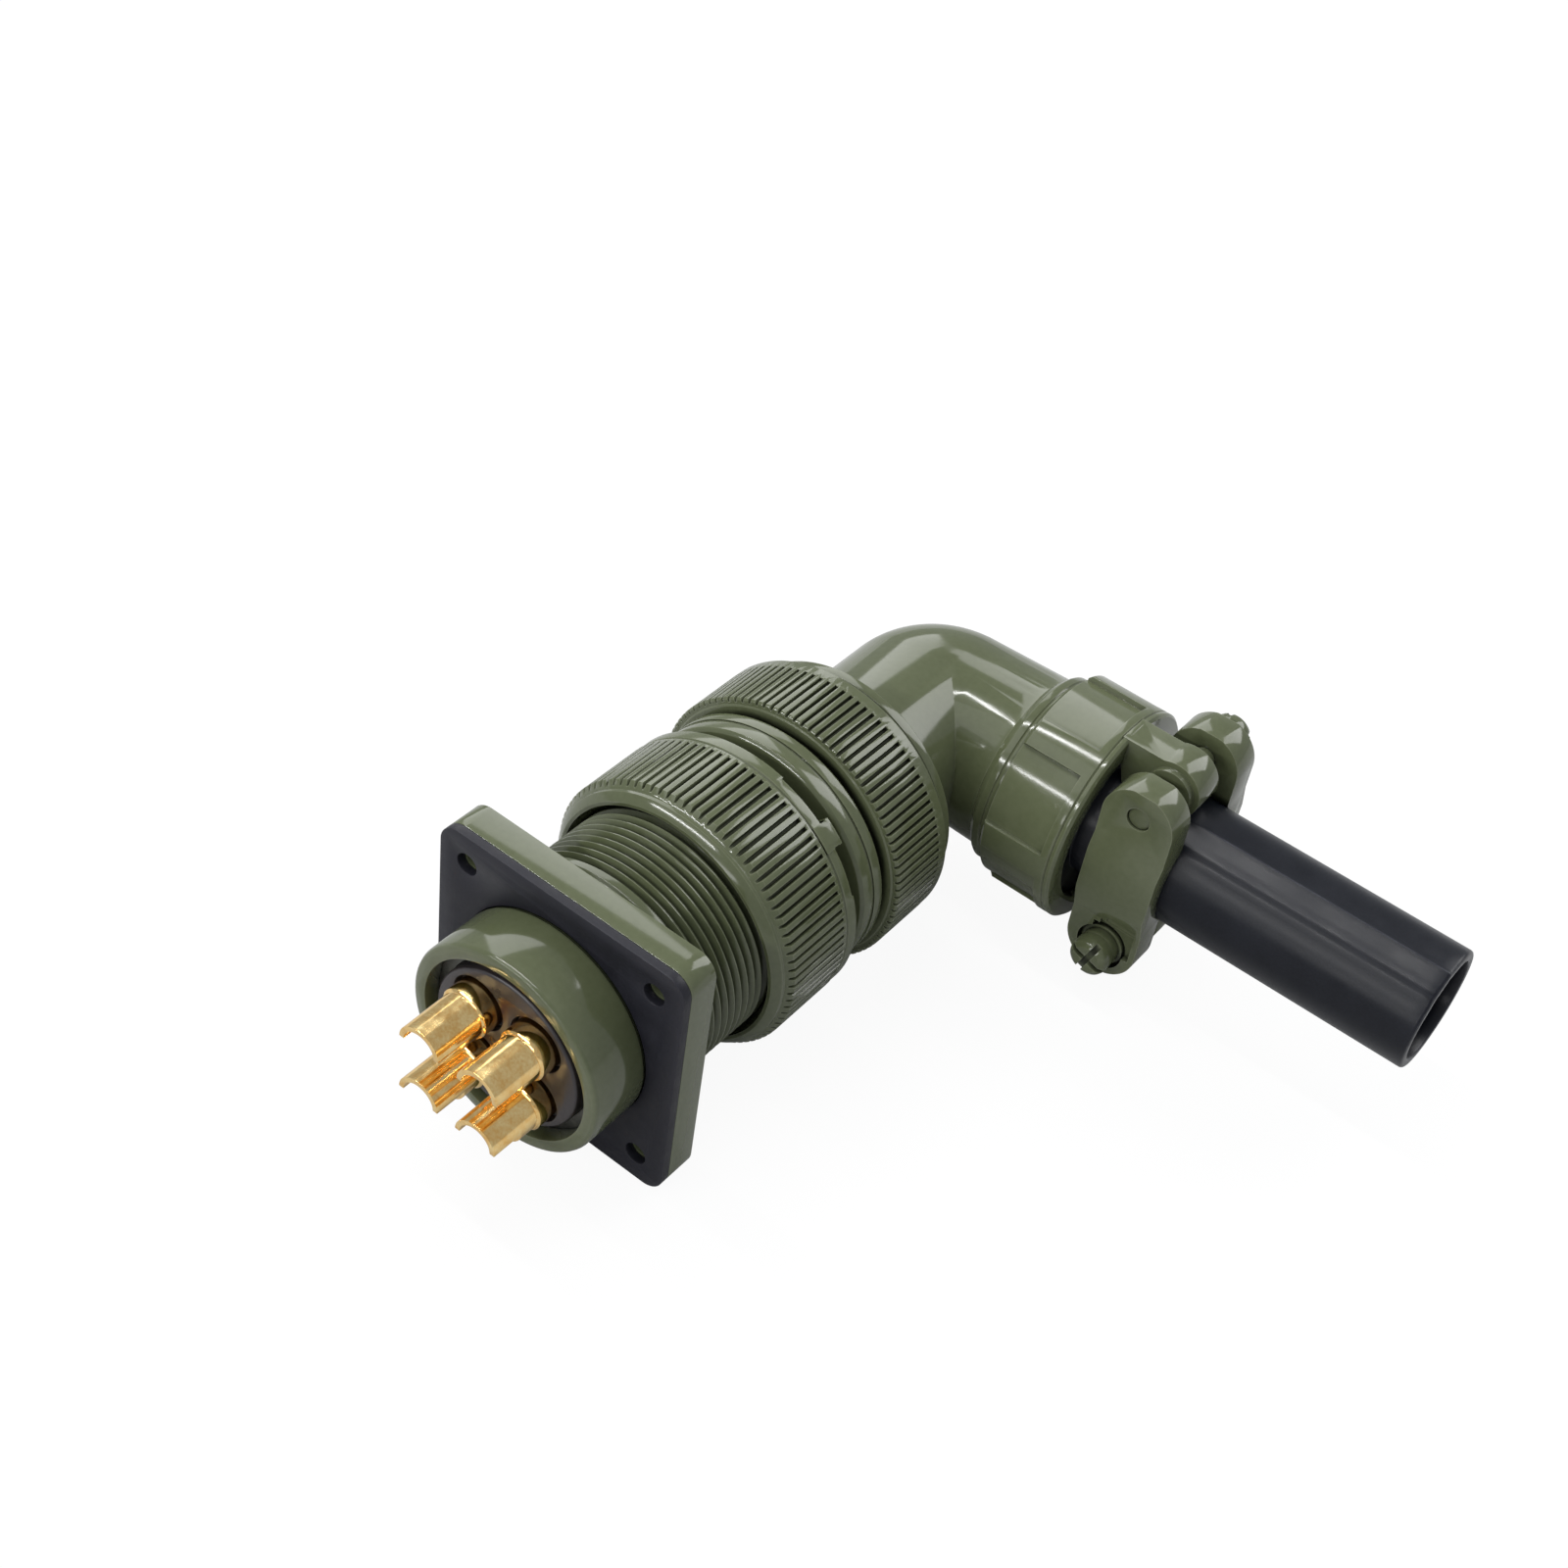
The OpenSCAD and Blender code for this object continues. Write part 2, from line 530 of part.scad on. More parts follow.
module coupling_nut() color(olive) {
    knurl_y0 = nut_front_y + nut_front_band;
    knurl_y1 = nut_rear_y - nut_rear_band;
    root = nut_d / 2 - rib_depth - core_gap;
    band = nut_d / 2 - 0.1;
    difference() {
        union() {
            turned([[0, nut_front_y], [root - 1.3, nut_front_y], [root - 0.2, nut_front_y + 1],
                [root, knurl_y1], [band, knurl_y1], [band, knurl_y1 + 0.6], [band - 0.25, knurl_y1 + 0.8],
                [band, knurl_y1 + 1], [band, nut_rear_y - 0.5], [band - 0.5, nut_rear_y], [0, nut_rear_y]]);
            knurled_band(nut_ribs, nut_d, rib_depth, knurl_y0, knurl_y1 + 0.3, 1);
            // index tab on the rear edge
            intersection() {
                rotate([0, -tab_angle, 0]) translate([0, nut_rear_y - nut_rear_band + 0.8, -tab_w / 2])
                    cube([nut_d, nut_rear_band - 0.8 + tab_len, tab_w]);
                ring_y(nut_d + 0.1, lip_bore_d + 2.4, nut_rear_y - nut_rear_band, nut_rear_y + tab_len);
            }
        }
        // internal thread with a countersunk mouth, then the bore of the lip
        turned([[0, nut_front_y - 1], [nut_bore_d / 2 + 0.9, nut_front_y - 1],
            [nut_bore_d / 2 + 0.9, nut_front_y + 0.5], [nut_bore_d / 2, nut_front_y + 1.4],
            [nut_bore_d / 2, lip_y], [0, lip_y]]);
        rod_y(lip_bore_d, lip_y - eps, nut_rear_y + 2);
        // relief of the rear edge to each side of the tab
        for (s = [-1, 1]) intersection() {
            rotate([0, -tab_angle - s * 16, 0]) translate([0, nut_rear_y - 0.8, -tab_w])
                cube([nut_d, 2, 2 * tab_w]);
            ring_y(nut_d + 2, lip_bore_d + 2.4, nut_rear_y - 1, nut_rear_y + 0.1);
        }
    }
}

module backshell_nut() color(olive) {
    knurl_y1 = ring_rear_y - ring_rear_band;
    root = ring_d / 2 - rib_depth - core_gap;
    band = ring_d / 2 - 0.05;
    difference() {
        union() {
            turned([[0, ring_front_y], [root - 0.4, ring_front_y], [root, ring_front_y + 0.4],
                [root, knurl_y1], [band, knurl_y1], [band, ring_rear_y - ring_bevel],
                [band - ring_bevel, ring_rear_y], [0, ring_rear_y]]);
            knurled_band(ring_ribs, ring_d, rib_depth, ring_front_y + 0.2, knurl_y1 + 0.3, 0.3);
        }
        rod_y(ring_bore_d, ring_front_y - 1, backshell_lip_y);
        rod_y(elbow_neck_d + 2 * barrel_clear, backshell_lip_y - eps, ring_rear_y + 1);
    }
}

// A pipe bend whose circle swings about an upright axis inside the circle:
// round outside, with a crease where the two arms meet inside
module bend(d, y_from, x_to, d_from, d_to) {
    r = d / 2;
    dy = outlet_y - bend_r;
    turned([[0, y_from], [d_from / 2, y_from], [r, dy], [0, dy]]);
    on_x() rotate_extrude() polygon([[0, bend_r], [r, bend_r], [d_to / 2, x_to], [0, x_to]]);
    translate([bend_r, dy, 0]) rotate([0, 0, 90]) rotate_extrude(angle = 90) intersection() {
        translate([bend_r, 0]) circle(r);
        translate([0, -d]) square(2 * d);
    }
}

module elbow() color(olive) difference() {
    union() {
        turned([[0, elbow_seat_y], [elbow_neck_d / 2 - 0.3, elbow_seat_y],
            [elbow_neck_d / 2, elbow_seat_y + 0.3], [elbow_neck_d / 2, shoulder2_y],
            [elbow_shoulder_d / 2 - 0.3, shoulder2_y], [elbow_shoulder_d / 2, shoulder2_y + 0.3],
            [elbow_shoulder_d / 2, elbow_body_y - 0.8], [elbow_shoulder_d / 2 - 0.8, elbow_body_y],
            [elbow_d / 2 + 2, elbow_body_y], [elbow_d / 2 + 0.8, elbow_body_y + 0.4],
            [elbow_d / 2, elbow_body_y + 1.4], [0, elbow_body_y + 1.4]]);
        bend(elbow_d, elbow_body_y, bead_x, elbow_d, arm_d);
        // bead and outlet thread
        on_x() rotate_extrude() polygon([[0, bead_x - bead_w - 0.8], [arm_d / 2, bead_x - bead_w - 0.8],
            [bead_d / 2 - 0.3, bead_x - bead_w], [bead_d / 2, bead_x - bead_w + 0.4],
            [bead_d / 2, bead_x - 0.9], [bead_d / 2 - 0.2, bead_x - 0.7], [bead_d / 2, bead_x - 0.5],
            [bead_d / 2, bead_x], [outlet_thread_d / 2, bead_x], [outlet_thread_d / 2, stub_end_x - 0.7],
            [outlet_thread_d / 2 - 0.7, stub_end_x], [0, stub_end_x]]);
    }
    bend(elbow_bore_d, elbow_seat_y - 1, stub_end_x + 1, elbow_bore_d, elbow_bore_d);
    ring_y(elbow_neck_d + 2, elbow_neck_d - 1.2, elbow_groove_y, elbow_groove_y + snap_t);
}

module elbow_retaining_ring() color(steel)
    open_ring(retainer_out_d, elbow_neck_d - 1.2, elbow_groove_y, snap_t, 4, 30);

// A wedge of a ring about the outlet axis, from the mid angle
module panel_cut(mid, angle) on_x() rotate([0, 0, -angle / 2 + 180 - mid])
    rotate_extrude(angle = angle) translate([clamp_d / 2 - panel_depth, clamp_x - 1])
        square([panel_depth + 2, clamp_len - clamp_rim_w + 1]);

// Lug with a pad for one clamp screw, above the outlet axis
module lug() {
    foot_z = clamp_d / 2 - 2.2;
    top_z = screw_height + lug_end_r - 0.5;
    // plate from the ring out to the screw
    translate([0, outlet_y + lug_t / 2, 0]) rotate([90, 0, 0]) linear_extrude(lug_t) union() {
        polygon([[clamp_lip_x + 0.2, foot_z], [clamp_rear_x + 0.6, screw_height - lug_end_r + 0.9],
            [screw_x, screw_height - lug_end_r + 0.4], [screw_x, top_z], [clamp_lip_x + 0.2, top_z]]);
        translate([screw_x, screw_height]) circle(lug_end_r);
    }
    rod_y(2 * lug_end_r - 2, outlet_y - pad_t / 2, outlet_y + pad_t / 2, screw_x, screw_height);
}

module clamp_body() color(olive) difference() {
    union() {
        difference() {
            on_x() rotate_extrude() polygon([[clamp_bore_d / 2, clamp_x], [clamp_d / 2 - 0.5, clamp_x],
                [clamp_d / 2, clamp_x + 0.5], [clamp_d / 2, clamp_rear_x - 1.3],
                [clamp_d / 2 - 0.25, clamp_rear_x - 1.1], [clamp_d / 2, clamp_rear_x - 0.9],
                [clamp_d / 2, clamp_rear_x - 0.4], [clamp_d / 2 - 0.4, clamp_rear_x],
                [clamp_lip_d / 2, clamp_rear_x], [clamp_lip_d / 2, clamp_lip_x],
                [clamp_bore_d / 2, clamp_lip_x]]);
            for (i = [0 : panels - 1]) panel_cut(360 / panels * i, 360 / panels - land_angle);
        }
        lug();
        translate([0, 2 * outlet_y, 0]) rotate([180, 0, 0]) lug();
    }
    on_x() translate([0, 0, clamp_x]) cylinder(r = seat_r, h = clamp_len + screw_reach + saddle_w);
    for (s = [-1, 1])
        rod_y(screw_d + 2 * screw_clear, outlet_y - saddle_out, outlet_y + saddle_out,
            screw_x, s * screw_height, 32);
}

module cable_bushing() color(rubber) on_x() rotate_extrude()
    polygon([[bushing_bore_d / 2, bushing_x], [bushing_flange_d / 2, bushing_x],
        [bushing_flange_d / 2, bushing_x + bushing_flange_t], [bushing_d / 2, bushing_x + bushing_flange_t],
        [bushing_d / 2, bushing_end_x - 0.3], [bushing_d / 2 - 0.3, bushing_end_x],
        [bushing_bore_d / 2, bushing_end_x]]);

// One saddle, on the -Y side, head recess at the bottom, threaded boss at the top
module saddle() {
    r = saddle_w / 2;
    z0 = screw_height;
    end_z = r * 0.78;
    difference() {
        union() {
            // flat bar with round ends
            translate([0, -saddle_out, 0]) on_y() linear_extrude(saddle_end_t) intersection() {
                union() {
                    square([saddle_w, 2 * z0 - 2], center = true);
                    translate([0, z0 - 1]) circle(r, $fn = 28);
                    translate([0, 1 - z0]) circle(r);
                }
                square([saddle_w, 2 * (z0 + end_z)], center = true);
            }
            // crowned middle, bent out over the cable
            translate([-r, 0, 0]) rotate([90, 0, 90]) linear_extrude(saddle_w)
                polygon([[-saddle_in, -z0 + 5.2], [-saddle_out, -z0 + 5.2],
                    [-saddle_out - saddle_crown, -3.4], [-saddle_out - saddle_crown + 0.3, z0 - 8.4],
                    [-saddle_out, z0 - 5.8], [-saddle_in, z0 - 5.8]]);
        }
        // seat for the bushing
        translate([-saddle_w, 0, 0]) rotate([0, 90, 0]) cylinder(r = seat_r, h = 2 * saddle_w);
        // round recess for the washers and the screw head, with a stepped way out above it
        translate([0, -saddle_out - 3, -z0]) on_y() cylinder(r = recess_r, h = recess_depth + 3);
        for (k = [0 : 2]) translate([-2 + k, -saddle_out - 3, -z0])
            cube([recess_r + 3 - k, 3 + recess_depth - 0.3 - k * 0.4, recess_len - 1.8 + k * 0.9]);
        // screw holes: clearance below, thread above
        translate([0, -saddle_out - 1, -z0]) on_y()
            cylinder(d = screw_d + 2 * screw_clear, h = saddle_end_t + 2, $fn = 32);
        translate([0, -saddle_out - 1, z0]) on_y()
            cylinder(d = screw_d + 2 * screw_clear, h = saddle_end_t + 2, $fn = 32);
    }
}
module saddle_near() color(olive) translate([screw_x, outlet_y, 0]) saddle();
module saddle_far() color(olive) translate([screw_x, outlet_y, 0]) rotate([180, 0, 0]) saddle();

// Clamp screw: head on the -Y side, tip flush with the far boss
module clamp_screw() {
    z = -screw_height;
    difference() {
        union() {
            translate([0, -head_top, z]) on_y() rotate_extrude()
                polygon([[0, 0], [screw_head_d / 2 - 0.9, 0], [screw_head_d / 2 - 0.2, 0.5],
                    [screw_head_d / 2, 1.1], [screw_head_d / 2, screw_head_h], [0, screw_head_h]]);
            translate([0, -head_seat - eps, z]) on_y()
                cylinder(d = screw_d, h = head_seat + saddle_out - 0.4, $fn = 32);
        }
        for (a = [0, 90]) translate([0, -head_top, z]) rotate([0, a + 20, 0])
            translate([-screw_head_d, -1, -slot_w / 2])
                cube([2 * screw_head_d, slot_depth + 1, slot_w]);
    }
}
module clamp_screw_lower() color(olive) translate([screw_x, outlet_y, 0]) clamp_screw();
module clamp_screw_upper() color(olive)
    translate([screw_x, outlet_y, 0]) rotate([180, 0, 0]) clamp_screw();

// Flat washer on the floor of the recess
module flat_washer() translate([0, -washer_seat, -screw_height]) on_y() difference() {
    cylinder(d = washer_d + 0.9, h = flat_washer_t, $fn = 48);
    translate([0, 0, -1]) cylinder(d = screw_d + 2 * screw_clear, h = flat_washer_t + 2, $fn = 32);
}
module flat_washer_lower() color(steel) translate([screw_x, outlet_y, 0]) flat_washer();
module flat_washer_upper() color(steel)
    translate([screw_x, outlet_y, 0]) rotate([180, 0, 0]) flat_washer();

// Split lock washer under a head
module lock_washer() difference() {
    translate([0, -head_seat, -screw_height]) on_y() difference() {
        cylinder(d = washer_d, h = washer_t, $fn = 48);
        translate([0, 0, -1]) cylinder(d = screw_d + 2 * screw_clear, h = washer_t + 2, $fn = 32);
    }
    translate([0, -head_seat - 1, -screw_height]) rotate([0, 70, 0])
        cube([washer_d, washer_t + 2, 0.5]);
}
module lock_washer_lower() color(steel) translate([screw_x, outlet_y, 0]) lock_washer();
module lock_washer_upper() color(steel)
    translate([screw_x, outlet_y, 0]) rotate([180, 0, 0]) lock_washer();

flange_gasket();
receptacle_shell();
receptacle_insert();
insert_retaining_ring();
interface_seal();
pin_contact_a();
pin_contact_b();
pin_contact_c();
pin_contact_d();
plug_barrel();
plug_insert();
socket_contact_a();
socket_contact_b();
socket_contact_c();
socket_contact_d();
coupling_nut_retaining_ring();
coupling_nut();
backshell_nut();
elbow();
elbow_retaining_ring();
clamp_body();
cable_bushing();
saddle_near();
saddle_far();
clamp_screw_lower();
clamp_screw_upper();
lock_washer_lower();
lock_washer_upper();
flat_washer_lower();
flat_washer_upper();
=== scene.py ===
import bpy, math
from mathutils import Matrix, Vector


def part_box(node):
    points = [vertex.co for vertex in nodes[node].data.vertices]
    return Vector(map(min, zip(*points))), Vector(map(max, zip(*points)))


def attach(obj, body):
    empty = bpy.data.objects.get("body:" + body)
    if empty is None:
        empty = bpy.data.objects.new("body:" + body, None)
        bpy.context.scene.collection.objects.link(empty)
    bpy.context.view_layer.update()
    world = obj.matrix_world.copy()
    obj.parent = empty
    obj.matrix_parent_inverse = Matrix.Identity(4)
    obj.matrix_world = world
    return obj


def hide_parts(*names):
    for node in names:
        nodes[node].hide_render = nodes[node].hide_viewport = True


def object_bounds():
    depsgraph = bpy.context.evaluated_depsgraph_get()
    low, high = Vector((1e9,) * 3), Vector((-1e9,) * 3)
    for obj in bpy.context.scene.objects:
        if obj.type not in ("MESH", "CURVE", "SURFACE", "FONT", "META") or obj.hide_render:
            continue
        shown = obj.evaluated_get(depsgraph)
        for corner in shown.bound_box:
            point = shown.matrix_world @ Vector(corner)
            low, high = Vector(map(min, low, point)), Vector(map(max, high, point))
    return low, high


# Circular power connector: square-flange receptacle joined to a right-angle plug.
# Metres; +Y from receptacle to plug, +X along the outlet, +Z up.

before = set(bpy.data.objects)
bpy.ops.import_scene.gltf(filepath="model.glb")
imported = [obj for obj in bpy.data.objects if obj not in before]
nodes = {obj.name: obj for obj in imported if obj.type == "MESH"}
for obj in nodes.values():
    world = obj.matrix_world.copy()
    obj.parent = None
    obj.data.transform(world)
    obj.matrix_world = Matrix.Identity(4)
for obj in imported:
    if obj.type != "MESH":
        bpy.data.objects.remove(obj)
cad_low, cad_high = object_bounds()
MM = 0.001

# The outlet's axis and the free end of the bushing, as the solids give them
outlet_y = sum(c.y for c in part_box("cable_bushing")) / 2
free_end_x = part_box("cable_bushing")[1].x

# Threads, 18 to the inch: crest radius, place of the first turn along the axis, turns
THREAD_PITCH = 1.4111 * MM
COUPLING_THREAD = {"radius": 17.4625 * MM, "start": 9.9 * MM, "turns": 15, "depth": 0.9 * MM}
REAR_THREAD = {"radius": 18.0025 * MM, "start": 47.2 * MM, "turns": 6}
OUTLET_THREAD = {"radius": 15.08 * MM, "start": 24.6 * MM, "turns": 5, "axis": "X",
                 "centre": (0, outlet_y, 0)}

# Rubber bushing: angles are in degrees round the outlet, from +Y towards +Z
SHARP_RIDGE, SOFT_RIDGE = 103.3, 130
SQUEEZE_CENTRE, SQUEEZE_HALF_WIDTH = 115, 78
SQUEEZE_DEPTH, SQUEEZE_FADE, TROUGH_SHARE = 0.55 * MM, 1.15, 0.6
SHARP_SPREAD, SOFT_SPREAD, SOFT_HEIGHT = 4.5, 8, 0.75
GRIP_START, GRIP_FADE = 44 * MM, 7 * MM
RING_SPACING, RINGS = 2 * MM, 21
LOOP_ANGLES = (99, 101, 102.3, SHARP_RIDGE, 104.3, 106, 109, 113, 118, 122, 126, SOFT_RIDGE,
               134, 139, 145)

# Studio
LAMP_TARGET = Vector((0.025, 0.055, 0.0))
LAMP_DISTANCE = 0.9
FLOOR_SIZE, FLOOR_GAP = 6.0, 0.0002


# ---------------------------------------------------------------- modelling
def only(obj):
    """Select this object and nothing else, in object mode."""
    if bpy.context.mode != "OBJECT":
        bpy.ops.object.mode_set(mode="OBJECT")
    bpy.ops.object.select_all(action="DESELECT")
    obj.select_set(True)
    bpy.context.view_layer.objects.active = obj


def apply_modifier(obj, kind, **settings):
    """Add a modifier with these settings and apply it at once."""
    only(obj)
    mod = obj.modifiers.new("step", kind)
    for key, value in settings.items():
        setattr(mod, key, value)
    bpy.ops.object.modifier_apply(modifier=mod.name)


def smooth(obj, degrees=40):
    """Shade smooth, but keep edges that are sharper than this angle."""
    only(obj)
    bpy.ops.object.shade_smooth_by_angle(angle=math.radians(degrees))


def casting_of(node_name, name):
    """A copy of a CAD node with its split vertices merged and its flats whole."""
    obj = bpy.data.objects.new(name, nodes[node_name].data.copy())
    bpy.context.scene.collection.objects.link(obj)
    only(obj)
    bpy.ops.mesh.customdata_custom_splitnormals_clear()
    bpy.ops.object.mode_set(mode="EDIT")
    bpy.ops.mesh.select_all(action="SELECT")
    bpy.ops.mesh.remove_doubles(threshold=2e-6)
    bpy.ops.mesh.dissolve_limited(angle_limit=math.radians(0.5))
    bpy.ops.object.mode_set(mode="OBJECT")
    return obj


def soften(obj, width, degrees=32, segments=2):
    """Round the edges as a coat of enamel or a mould leaves them."""
    apply_modifier(obj, "BEVEL", width=width, segments=segments, limit_method="ANGLE",
                   angle_limit=math.radians(degrees), use_clamp_overlap=True)


def thread_cutter(radius, root, start, turns, axis, steps=72):
    """A right-hand thread groove with rounded crests, swept along +axis from start.

    Half of its outline is listed as radii and half widths, in shares of the pitch."""
    half = [(radius + 0.25 * MM, 0.475), (radius + 0.02 * MM, 0.47), (radius - 0.05 * MM, 0.43),
            (radius - 0.16 * MM, 0.37), (root + 0.10 * MM, 0.14), (root, 0.07)]
    outline = half + [(r, -w) for r, w in reversed(half)]
    bpy.ops.mesh.primitive_circle_add(vertices=len(outline), radius=radius)
    cutter = bpy.context.active_object
    for v, (r, w) in zip(cutter.data.vertices, outline):
        along = start + w * THREAD_PITCH
        v.co = (r, along, 0) if axis == "Y" else (along, -r, 0)
    apply_modifier(cutter, "SCREW", axis=axis, angle=2 * math.pi, screw_offset=THREAD_PITCH,
                   iterations=turns, steps=steps, render_steps=steps, use_merge_vertices=False)
    bpy.ops.object.mode_set(mode="EDIT")
    bpy.ops.mesh.select_all(action="SELECT")
    bpy.ops.mesh.fill_holes(sides=0)
    bpy.ops.mesh.normals_make_consistent(inside=False)
    bpy.ops.object.mode_set(mode="OBJECT")
    return cutter


def cut_thread(obj, radius, start, turns, axis="Y", centre=(0, 0, 0), depth=0.82 * MM):
    """Cut a thread's groove into a plain round stretch of a piece."""
    cutter = thread_cutter(radius, radius - depth, start, turns, axis)
    cutter.data.transform(Matrix.Translation(Vector(centre)))
    apply_modifier(obj, "BOOLEAN", operation="DIFFERENCE", solver="EXACT", object=cutter)
    bpy.data.objects.remove(cutter)


def squeeze(obj):
    """Press the bushing in round its top, so that two ridges run on to its free end."""
    only(obj)
    bpy.ops.object.mode_set(mode="EDIT")
    for ring in range(1, RINGS + 1):
        bpy.ops.mesh.select_all(action="SELECT")
        bpy.ops.mesh.bisect(plane_co=(free_end_x - ring * RING_SPACING, 0, 0),
                            plane_no=(1, 0, 0))
    for angle in map(math.radians, LOOP_ANGLES):
        bpy.ops.mesh.select_all(action="SELECT")
        bpy.ops.mesh.bisect(plane_co=(0, outlet_y, 0),
                            plane_no=(0, -math.sin(angle), math.cos(angle)))
    bpy.ops.object.mode_set(mode="OBJECT")
    for v in obj.data.vertices:
        y, z = v.co.y - outlet_y, v.co.z
        angle = math.degrees(math.atan2(z, y))
        off = angle - SQUEEZE_CENTRE
        if abs(off) >= SQUEEZE_HALF_WIDTH:
            continue
        window = math.cos(math.radians(off * SQUEEZE_FADE)) ** 2
        grip = min(1, max(0, (v.co.x - GRIP_START) / GRIP_FADE))
        grip = grip * grip * (3 - 2 * grip)
        ridge = max(math.exp(-abs(angle - SHARP_RIDGE) / SHARP_SPREAD),
                    SOFT_HEIGHT * math.exp(-((angle - SOFT_RIDGE) / SOFT_SPREAD) ** 2))
        trough = TROUGH_SHARE if SHARP_RIDGE < angle < SOFT_RIDGE else 1
        sink = SQUEEZE_DEPTH * grip * window * (1 - ridge) * trough
        scale = 1 - sink / math.hypot(y, z)
        v.co.y, v.co.z = outlet_y + y * scale, z * scale


# ---------------------------------------------------------------- materials
def new_material(name):
    """A material with a Principled shader on its output."""
    mat = bpy.data.materials.new(name)
    mat.use_nodes = True
    tree = mat.node_tree
    tree.nodes.clear()
    out = tree.nodes.new("ShaderNodeOutputMaterial")
    shader = tree.nodes.new("ShaderNodeBsdfPrincipled")
    tree.links.new(shader.outputs["BSDF"], out.inputs["Surface"])
    return mat, tree, shader


def node(tree, kind, inputs=None, **settings):
    """A node with its settings; an input is linked where it is given a socket."""
    n = tree.nodes.new(kind)
    for key, value in settings.items():
        setattr(n, key, value)
    for key, value in (inputs or {}).items():
        if isinstance(value, bpy.types.NodeSocket):
            tree.links.new(value, n.inputs[key])
        else:
            n.inputs[key].default_value = value
    return n


def new_group(name, inputs, outputs):
    """An empty node group; inputs and outputs are (name, socket type, default)."""
    tree = bpy.data.node_groups.new(name, "ShaderNodeTree")
    for label, kind, default in inputs:
        socket = tree.interface.new_socket(name=label, in_out="INPUT", socket_type=kind)
        socket.default_value = default
    for label, kind in outputs:
        tree.interface.new_socket(name=label, in_out="OUTPUT", socket_type=kind)
    return tree, tree.nodes.new("NodeGroupInput"), tree.nodes.new("NodeGroupOutput")


def mottle_group():
    """Two scales of noise on the piece's own coordinates: a colour mask and a height."""
    tree, gin, gout = new_group(
        "surface_mottle",
        [("Broad Scale", "NodeSocketFloat", 60.0), ("Fine Scale", "NodeSocketFloat", 1400.0),
         ("Fine Share", "NodeSocketFloat", 0.5)],
        [("Broad", "NodeSocketFloat"), ("Fine", "NodeSocketFloat"), ("Height", "NodeSocketFloat")])
    coords = node(tree, "ShaderNodeTexCoord").outputs["Object"]
    broad = node(tree, "ShaderNodeTexNoise", {"Vector": coords, "Scale": gin.outputs["Broad Scale"],
                                              "Detail": 3.0, "Roughness": 0.55})
    fine = node(tree, "ShaderNodeTexNoise", {"Vector": coords, "Scale": gin.outputs["Fine Scale"],
                                             "Detail": 2.0, "Roughness": 0.5})
    height = node(tree, "ShaderNodeMix", {0: gin.outputs["Fine Share"], 2: broad.outputs["Fac"],
                                          3: fine.outputs["Fac"]}, data_type="FLOAT")
    for label, source in (("Broad", broad.outputs["Fac"]), ("Fine", fine.outputs["Fac"]),
                          ("Height", height.outputs[0])):
        tree.links.new(source, gout.inputs[label])
    return tree


def edge_group():
    """A mask that is bright on sharp edges, where a coat lies thin."""
    tree, gin, gout = new_group(
        "edge_thinning",
        [("Radius", "NodeSocketFloat", 0.0003), ("Breakup", "NodeSocketFloat", 300.0)],
        [("Mask", "NodeSocketFloat")])
    bevel = node(tree, "ShaderNodeBevel", {"Radius": gin.outputs["Radius"]}, samples=6)
    geometry = node(tree, "ShaderNodeNewGeometry")
    dot = node(tree, "ShaderNodeVectorMath", {0: bevel.outputs["Normal"],
                                              1: geometry.outputs["True Normal"]},
               operation="DOT_PRODUCT")
    edge = node(tree, "ShaderNodeMapRange", {"Value": dot.outputs["Value"], "From Min": 0.995,
                                             "From Max": 0.90, "To Min": 0.0, "To Max": 1.0})
    coords = node(tree, "ShaderNodeTexCoord").outputs["Object"]
    noise = node(tree, "ShaderNodeTexNoise", {"Vector": coords, "Scale": gin.outputs["Breakup"],
                                              "Detail": 3.0})
    share = node(tree, "ShaderNodeMapRange", {"Value": noise.outputs["Fac"], "From Min": 0.3,
                                              "From Max": 0.7, "To Min": 0.35, "To Max": 1.0})
    mask = node(tree, "ShaderNodeMath", {0: edge.outputs["Result"], 1: share.outputs["Result"]},
                operation="MULTIPLY")
    tree.links.new(mask.outputs["Value"], gout.inputs["Mask"])
    return tree


mottle = mottle_group()
edges = edge_group()


def place_group(tree, group, **values):
    """A group in a material; an underscore stands for the space in an input's name."""
    n = tree.nodes.new("ShaderNodeGroup")
    n.node_tree = group
    for key, value in values.items():
        n.inputs[key.replace("_", " ")].default_value = value
    return n


